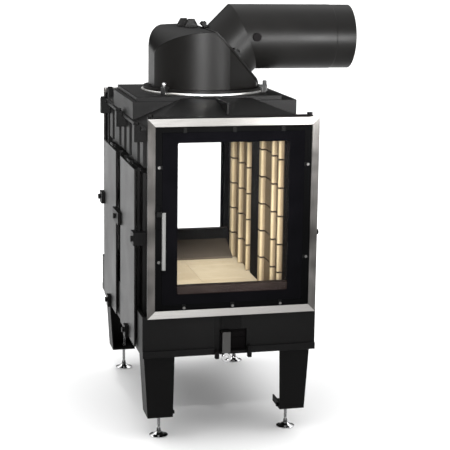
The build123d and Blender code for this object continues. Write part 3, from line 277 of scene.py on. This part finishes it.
def stainless_trim():
    """Brushed stainless bars: the scratches follow each bar and meet at the mitres; the level bars get a
    light tone as painted light and the standing bars a dark tone as painted shade, and the level bars grow
    darker to the right as painted shade.
    """
    look = Look("stainless_trim", roughness=0.3, metallic=1.0)
    look.soft_edges(0.0009)
    past_mitre = look.math("SUBTRACT", look.away("X", CENTRE_X), look.away("Z", DOOR_MIDDLE_Z))
    upright = look.math("GREATER_THAN", past_mitre, DOOR_HALF - DOOR_HALF_HEIGHT)
    along_x = look.streaks((14.0, 900.0, 1500.0), 0.7)
    along_z = look.streaks((1500.0, 900.0, 14.0), 0.7)
    scratch = look.add("ShaderNodeMix", {0: upright, 2: along_x, 3: along_z}).outputs[0]
    # level bars light and standing bars dark: painted light and painted shade on one metal
    level = look.blend(scratch, (0.42, 0.41, 0.4), (0.6, 0.59, 0.57))
    shaded_standing_bars = look.blend(scratch, (0.026, 0.025, 0.024), (0.066, 0.063, 0.06))
    # the level bars grow darker to the right: painted shade
    to_right = look.math("SUBTRACT", look.axis("X"), CENTRE_X)
    painted_shade_to_right = look.math("MULTIPLY_ADD", to_right, 1.4, 0.42, clamp=True)
    level = look.mix(painted_shade_to_right, level, opaque((0.26, 0.25, 0.24)))
    clouds = look.grey(look.noise(9.0, 2.0), 0.0, 0.35, start=0.35)
    look.color(look.mix(clouds, look.mix(upright, level, shaded_standing_bars), opaque((0.36, 0.34, 0.325))))
    look.roughness(look.grey(scratch, 0.24, 0.4, start=0.25, end=0.75))
    look.bump(scratch, 0.25, 0.0002)
    tangent = look.add("ShaderNodeCombineXYZ", {"X": upright, "Z": look.math("SUBTRACT", 1.0, upright)})
    look.links.new(tangent.outputs[0], look.shader.inputs["Tangent"])
    look.shader.inputs["Anisotropic"].default_value = 0.75
    return look


def bare_steel(name, tone, roughness, grain):
    """Machined or rolled bare steel with a slight heat tint."""
    look = Look(name, roughness=roughness, metallic=1.0)
    look.soft_edges(0.0006)
    streaks = look.streaks(grain)
    lighter = tuple(min(1.0, c * 1.15) for c in tone)
    tinted = (tone[0] * 0.8, tone[1] * 0.74, tone[2] * 0.68)
    stain = look.grey(look.noise(16.0), 0.0, 0.6, start=0.45, end=0.75)
    look.color(look.mix(stain, look.blend(streaks, tone, lighter), opaque(tinted)))
    look.roughness(look.grey(streaks, roughness - 0.06, roughness + 0.1, start=0.25, end=0.75))
    look.bump(streaks, 0.15, 0.0002)
    return look


def chrome(name, level):
    look = Look(name, roughness=0.09, metallic=1.0)
    haze = look.noise(60.0)
    dull = (level * 0.84, level * 0.84, level * 0.85)
    look.color(look.blend(haze, dull, (level, level, level * 1.01), start=0.35, end=0.65))
    look.roughness(look.grey(haze, 0.06, 0.16))
    return look


def part_bare(look, bare, black, dark, light, grain, depth):
    """Blackened steel that is bare metal where the mask is 1."""
    scuffs = look.noise(grain)
    look.color(look.mix(bare, opaque(black), look.blend(scuffs, dark, light)))
    look.metallic(bare)
    look.bump(scuffs, 0.2, depth)


def clip_steel():
    """Blackened clips under the bare heads of their screws; the top row's heads are painted black as painted
    shade.
    """
    look = Look("clip_steel", roughness=0.42, specular=0.03)
    head = look.math("GREATER_THAN", look.away("Y"), SCREW_FACE_Y)
    # heads of the top row stay black: painted shade
    bare = look.math("MULTIPLY", head, look.math("LESS_THAN", look.axis("Z"), PAINTED_SHADE_SCREWS_Z))
    part_bare(look, bare, BLACKENED, (0.07, 0.068, 0.066), (0.15, 0.147, 0.143), 700.0, 0.0002)
    return look


def clamp_steel():
    """Black clamps of the dome; the bolt at the front left has a bare, shiny head."""
    look = Look("clamp_steel", roughness=0.35)
    look.soft_edges(0.0012)
    left = look.math("LESS_THAN", look.axis("X"), BRIGHT_CLAMP_X)
    bare = look.math("MULTIPLY", left, look.math("GREATER_THAN", look.axis("Z"), CLAMP_TOP_Z))
    part_bare(look, bare, CLAMP_BLACK, (0.3, 0.3, 0.3), (0.5, 0.5, 0.5), 500.0, 0.0003)
    return look


def handle_steel():
    """Satin steel bar; its arm and hub behind the bar are coloured black and not metallic."""
    look = Look("handle_steel", roughness=0.3, specular=0.05)
    look.soft_edges(0.0008)
    bar = look.math("GREATER_THAN", look.away("Y"), HANDLE_BACK_Y)
    streaks = look.streaks((1500.0, 1500.0, 14.0))
    satin = look.blend(streaks, (0.16, 0.16, 0.157), (0.25, 0.25, 0.244))
    look.color(look.mix(bar, opaque(BLACKENED), satin))
    look.metallic(bar)
    look.roughness(look.grey(streaks, 0.24, 0.38, start=0.25, end=0.75))
    look.bump(streaks, 0.15, 0.0002)
    return look


def threaded_chrome():
    """The feet: chrome with the spindle's thread cut into its upper part."""
    look = chrome("threaded_chrome", 0.74)
    look.soft_edges(0.0006)
    z = look.axis("Z")
    thread = look.math("PINGPONG", z, THREAD_HALF_PITCH)
    upper = look.math("GREATER_THAN", z, THREAD_START_Z)
    look.bump(look.math("MULTIPLY", thread, upper), 1.0, 1.0)
    return look


def clear_glass():
    """Glass ceramic, faintly warm, that lets the light through."""
    look = Look("clear_glass", (0.93, 0.9, 0.86), 0.03)
    see = look.add("ShaderNodeBsdfTransparent", {"Color": opaque((0.985, 0.985, 0.985))})
    gloss = look.add("ShaderNodeBsdfGlossy", {"Color": opaque(WHITE)})
    dirt = look.grey(look.noise(5.0, 4.0, 0.6), 0.02, 0.07, end=0.8)
    look.links.new(dirt, gloss.inputs["Roughness"])
    fresnel = look.add("ShaderNodeFresnel", {"IOR": 1.1})
    mixed = look.add("ShaderNodeMixShader", {0: fresnel.outputs[0], 1: see.outputs[0], 2: gloss.outputs[0]})
    look.links.new(mixed.outputs[0], look.out.inputs["Surface"])
    look.material.surface_render_method = "BLENDED"
    return look


def glass_print():
    """Black enamel printed round the edge of the glass: deep and glossy."""
    look = Look("glass_print", roughness=0.05, specular=0.02)
    haze = look.noise(12.0, 4.0)
    look.color(look.blend(haze, (0.0009, 0.0009, 0.0012), (0.0016, 0.0015, 0.002)))
    look.roughness(look.grey(haze, 0.035, 0.09, end=0.75))
    return look


def rope():
    """Braided glass fibre rope, dark with graphite."""
    look = Look("rope", roughness=0.9, specular=0.2)
    place = look.add("ShaderNodeVectorRotate", {"Vector": look.place, "Angle": 0.8}, rotation_type="Y_AXIS")
    wave = look.add("ShaderNodeTexWave", {"Vector": place.outputs[0], "Scale": 95.0, "Distortion": 2.0})
    braid = wave.outputs["Fac"]
    look.color(look.blend(braid, (0.012, 0.012, 0.012), (0.05, 0.048, 0.045), start=0.2, end=0.8))
    look.bump(braid, 0.8, 0.0015)
    return look


def brick_soot_and_shade(look, base):
    """Sooty joints between the walls' courses, and valleys between the ribs darkened as painted shade."""
    behind = look.math("SUBTRACT", look.away("X", CENTRE_X), BRICK_FACE)
    # the valleys behind the ribs' faces are darkened: painted shade
    valley_shade = look.grey(look.math("MULTIPLY", behind, CENTIMETRES), 0.0, 0.8, *VALLEY_SHADE_DEPTH)
    height = look.math("SUBTRACT", look.axis("Z"), BRICK_Z)
    from_joint = look.math("PINGPONG", height, BRICK_HEIGHT / 2)
    soot = look.grey(look.math("MULTIPLY", from_joint, CENTIMETRES), 1.0, 0.0, *JOINT_SOOT)
    return look.mix(soot, look.mix(valley_shade, base, opaque(VALLEY_PAINTED_SHADE)), opaque(SOOT))


def chamotte(name, light, dark, grid, soot_and_shade=None):
    """Pale firebrick: gritty and speckled, with a tint for each cell of a grid of bricks."""
    look = Look(name, roughness=0.9, specular=0.15)
    look.soft_edges(0.0015)
    first, second = (look.cell(*direction) for direction in grid)
    which = look.add("ShaderNodeCombineXYZ", {"X": first, "Y": second})
    chance = look.add("ShaderNodeTexWhiteNoise", {"Vector": which.outputs[0]}).outputs["Value"]
    clouds = look.noise(14.0, 5.0, 0.65)
    tint = look.math("MULTIPLY_ADD", clouds, 0.75, look.math("MULTIPLY", chance, 0.25))
    grit = look.noise(420.0, 2.0, 0.7)
    specks = look.grey(grit, 0.0, 0.5, start=0.62, end=0.72)
    base = look.blend(tint, dark, light, start=0.25, end=0.75)
    base = look.mix(specks, base, opaque(scaled(dark, 0.55)))
    look.color(soot_and_shade(look, base) if soot_and_shade else base)
    look.bump(grit, 0.3, 0.0006)
    look.bump(clouds, 0.25, 0.002)
    return look


# ---- which node wears which material ---------------------------------------------------------------------


def both(name):
    return [f"front_{name}", f"rear_{name}"]


CORNERS = ("front_left", "front_right", "rear_left", "rear_right")
LEGS = [f"{corner}_leg" for corner in CORNERS]
FEET = [f"{corner}_foot" for corner in CORNERS]
CASTINGS = ["left_side_casting", "right_side_casting", "top_plate", "dome_seat", "hoods", *both("base_panel")]
PLATES = ["base_tray", "deck_plate", "base_skirts", "air_inlet_collar", "lever_guides"]
FITTINGS = ["cover_clamps", "top_lugs", "outlet_clips", *both("hinges_and_keeper")]
HIDDEN = ["duct_walls", "ceiling_plate", "smoke_deflector", "air_port_plate", "air_slide_plate"]
FLUE = ["elbow_neck", "flue_pipe", "outlet_flange"]

# name, tone, roughness, specular, grain, relief, radius of the softened edges, nodes
PAINTS = (
    ("sheet_black", (0.003, 0.0029, 0.0029), 0.42, 0.06, 1400.0, 0.15, 0.001, PLATES + LEGS + FITTINGS),
    ("inside_black", (0.0035, 0.003, 0.0032), 0.7, 0.03, 900.0, 0.3, 0.001, [*HIDDEN, "test_port_plug"]),
    ("door_iron", (0.0013, 0.0013, 0.0014), 0.5, 0.012, 900.0, 0.3, 0.0015, both("door_frame")),
    ("dome_iron", (0.0024, 0.0022, 0.002), 0.4, 0.09, 800.0, 0.25, 0.004, ["dome"]),
    ("pipe_black", (0.0034, 0.0032, 0.003), 0.4, 0.1, 1100.0, 0.2, 0.0008, FLUE),
    ("cover_plate_black", (0.004, 0.0039, 0.0038), 0.34, 0.08, 1600.0, 0.08, 0.0012, ["side_cover_plates"]),
    ("sill_iron", (0.062, 0.05, 0.038), 0.65, 0.06, 900.0, 0.4, 0.001, ["sloping_sills"]),
)

# name, tone, roughness, scale of the grain along each axis, nodes
STEELS = (
    ("machined_ring", (0.86, 0.86, 0.84), 0.3, (30.0, 30.0, 1800.0), ["dome_ring"]),
    ("lever_steel", (0.06, 0.059, 0.058), 0.36, (900.0, 900.0, 40.0), ["air_lever"]),
    ("dark_steel", (0.03, 0.029, 0.028), 0.4, (40.0, 900.0, 900.0), both("latch_spindle")),
)

# name, light tone, dark tone, grid of the tints, joint soot and painted valley shade, nodes
FIREBRICKS = (
    ("wall_chamotte", rgb(184, 168, 136), rgb(158, 141, 110), WALL_GRID, brick_soot_and_shade, ["wall_firebricks"]),
    ("floor_chamotte", rgb(198, 184, 156), rgb(176, 159, 130), SLAB_GRID, None, ["hearth_slabs"]),
)

DRESSED = [
    (cast_iron(), CASTINGS),
    (mouth_iron(), both("frame_casting")),
    *((black_paint(*paint), nodes) for *paint, nodes in PAINTS),
    *((bare_steel(*steel), nodes) for *steel, nodes in STEELS),
    *((chamotte(*brick), nodes) for *brick, nodes in FIREBRICKS),
    (stainless_trim(), both("trim_frame")),
    (handle_steel(), both("handle")),
    (clip_steel(), both("glass_clips")),
    (clamp_steel(), ["dome_clamps"]),
    (chrome("knob_chrome", 0.45), ["air_lever_knob"]),
    (threaded_chrome(), FEET),
    (clear_glass(), both("glass")),
    (rope(), both("door_seal")),
]

dressed = set()
for look, names in DRESSED:
    for name in names:
        node = frame["nodes"][name]
        node.data.materials.clear()
        node.data.materials.append(look.material)
        dressed.add(name)
missing = set(frame["nodes"]) - dressed
if missing:
    raise RuntimeError(f"no look for {sorted(missing)}")


# ---- the enamel print on both glasses --------------------------------------------------------------------


def half_turn(bm):
    """Turns a bmesh half a turn about the body's centre line."""
    centre = Vector((CENTRE_X, 0, 0))
    turn = Matrix.Translation(centre) @ Matrix.Rotation(math.pi, 4, "Z") @ Matrix.Translation(-centre)
    bmesh.ops.transform(bm, matrix=turn, verts=bm.verts)


def print_frame(bm):
    """A thin frame with softly rounded corners, in front of the glass."""
    outer = []
    inner = []
    for side, end, start in ((1, 1, 0), (-1, 1, 90), (-1, -1, 180), (1, -1, 270)):
        z_out = GLASS_Z[1] if end > 0 else GLASS_Z[0]
        z_in = PRINT_Z[1] if end > 0 else PRINT_Z[0]
        for step in range(CORNER_STEPS + 1):
            angle = math.radians(start + 90 * step / CORNER_STEPS)
            dx, dz = math.cos(angle) * PRINT_CORNER, math.sin(angle) * PRINT_CORNER
            for edge, half, z in ((outer, GLASS_HALF, z_out), (inner, PRINT_HALF, z_in)):
                x = CENTRE_X + side * (half - PRINT_CORNER) + dx
                edge.append((x, z - end * PRINT_CORNER + dz))
    rings = []
    for y in (GLASS_Y - PRINT_FRONT_GAP, GLASS_Y - PRINT_BACK_GAP):
        for edge in (outer, inner):
            rings.append([bm.verts.new((x, y, z)) for x, z in edge])
    front_out, front_in, back_out, back_in = rings
    count = len(outer)
    for i in range(count):
        j = (i + 1) % count
        bm.faces.new((front_out[i], front_out[j], front_in[j], front_in[i]))
        bm.faces.new((back_out[j], back_out[i], back_in[i], back_in[j]))
        bm.faces.new((front_out[j], front_out[i], back_out[i], back_out[j]))
        bm.faces.new((front_in[i], front_in[j], back_in[j], back_in[i]))


def glass_border(name, body, look, turned):
    """One door's print, riding on that door."""
    mesh = bpy.data.meshes.new(name)
    bm = bmesh.new()
    print_frame(bm)
    if turned:
        half_turn(bm)
    bmesh.ops.recalc_face_normals(bm, faces=bm.faces)
    bm.to_mesh(mesh)
    bm.free()
    piece = bpy.data.objects.new(name, mesh)
    bpy.context.scene.collection.objects.link(piece)
    mesh.materials.append(look.material)
    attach(piece, body)


enamel = glass_print()
glass_border("front_glass_print", "front_door", enamel, turned=False)
glass_border("rear_glass_print", "rear_door", enamel, turned=True)


# ---- floor, light, camera ----------------------------------------------------------------------------------

SKY_UP = 2.3
SKY_LOW = 0.05
SKY_START = 0.3  # sine of the height where the sky starts to brighten
SKY_RISE = 0.5
SEEN_WHITE = 1.3  # strength of the surround where the camera sees it directly
FLOOR_HALF = 400.0
FLOOR_PARTS = 8
FLOOR_TONE = (0.93, 0.93, 0.93)

LENS = 103.92
SENSOR = 36.0
SHIFT_Y = -0.1
SIGHT = 1000.0
CAMERA_PLACE = (CENTRE_X - 0.8723, -3.9277, 1.4178)
YAW, PITCH, ROLL = (math.radians(angle) for angle in (13.57, 10.03, 0.78))


def floor():
    mesh = bpy.data.meshes.new("studio_floor")
    bm = bmesh.new()
    bmesh.ops.create_grid(bm, x_segments=FLOOR_PARTS, y_segments=FLOOR_PARTS, size=FLOOR_HALF)
    bm.to_mesh(mesh)
    bm.free()
    piece = bpy.data.objects.new("studio_floor", mesh)
    bpy.context.scene.collection.objects.link(piece)
    mesh.materials.append(Look("studio_floor", FLOOR_TONE, roughness=0.9, specular=0.0).material)


def world():
    """Plain soft studio surround: bright overhead, dim near the horizon; it shows as plain white."""
    surround = bpy.data.worlds.new("studio")
    bpy.context.scene.world = surround
    surround.use_nodes = True
    tree = surround.node_tree
    direction = tree.nodes.new("ShaderNodeSeparateXYZ")
    tree.links.new(tree.nodes.new("ShaderNodeTexCoord").outputs["Generated"], direction.inputs[0])
    rise = calculate(tree, "SUBTRACT", (direction.outputs["Z"], SKY_START))
    share = calculate(tree, "DIVIDE", (rise, SKY_RISE), clamp=True)
    light = calculate(tree, "MULTIPLY_ADD", (share, SKY_UP, SKY_LOW))
    mixed = tree.nodes.new("ShaderNodeMix")
    tree.links.new(tree.nodes.new("ShaderNodeLightPath").outputs["Is Camera Ray"], mixed.inputs[0])
    tree.links.new(light, mixed.inputs[2])
    mixed.inputs[3].default_value = SEEN_WHITE
    background = tree.nodes["Background"]
    background.inputs["Color"].default_value = opaque(WHITE)
    tree.links.new(mixed.outputs[0], background.inputs["Strength"])


def softbox(name, location, target, size, power, spread=180.0):
    """A square lamp aimed at a point; its spread in degrees narrows the beam."""
    light = bpy.data.lights.new(name, "AREA")
    light.shape = "SQUARE"
    light.size = size
    light.energy = power
    light.spread = math.radians(spread)
    lamp = bpy.data.objects.new(name, light)
    lamp.location = location
    lamp.rotation_euler = (Vector(target) - Vector(location)).to_track_quat("-Z", "Y").to_euler()
    lamp.visible_camera = False
    bpy.context.scene.collection.objects.link(lamp)


def camera():
    data = bpy.data.cameras.new("camera")
    data.lens = LENS
    data.sensor_width = SENSOR
    data.shift_y = SHIFT_Y
    data.clip_end = SIGHT
    eye = bpy.data.objects.new("camera", data)
    level = Vector((math.sin(YAW), math.cos(YAW), 0.0))
    forward = level * math.cos(PITCH) - Vector((0.0, 0.0, math.sin(PITCH)))
    right = Vector((math.cos(YAW), -math.sin(YAW), 0.0))
    up = right.cross(forward)
    rolled_right = right * math.cos(ROLL) + up * math.sin(ROLL)
    rolled_up = up * math.cos(ROLL) - right * math.sin(ROLL)
    turn = Matrix((rolled_right, rolled_up, -forward)).transposed()
    eye.matrix_world = Matrix.Translation(CAMERA_PLACE) @ turn.to_4x4()
    bpy.context.scene.collection.objects.link(eye)
    bpy.context.scene.camera = eye


floor()
world()
softbox("front_fill", (-0.9, -3.6, 1.5), (CENTRE_X + 0.05, 0.0, 1.12), size=0.45, power=8.0, spread=26.0)
softbox("left_back", (-1.1, 4.0, 0.5), (CENTRE_X - 0.25, 0.0, 0.7), size=0.95, power=0.9)
softbox("through_glass", (-1.2, -3.4, 1.05), (CENTRE_X + 0.05, -0.2, 0.65), size=0.35, power=0.9, spread=14.0)
softbox("along_pipe", (1.5, -3.4, 1.0), (0.15, 0.0, 1.16), size=0.45, power=2.2, spread=14.0)
softbox("onto_floor", (-0.5, -2.6, 2.3), (CENTRE_X, -0.15, 0.5), size=0.3, power=1.2, spread=12.0)
camera()
bpy.context.scene.view_settings.view_transform = "Standard"
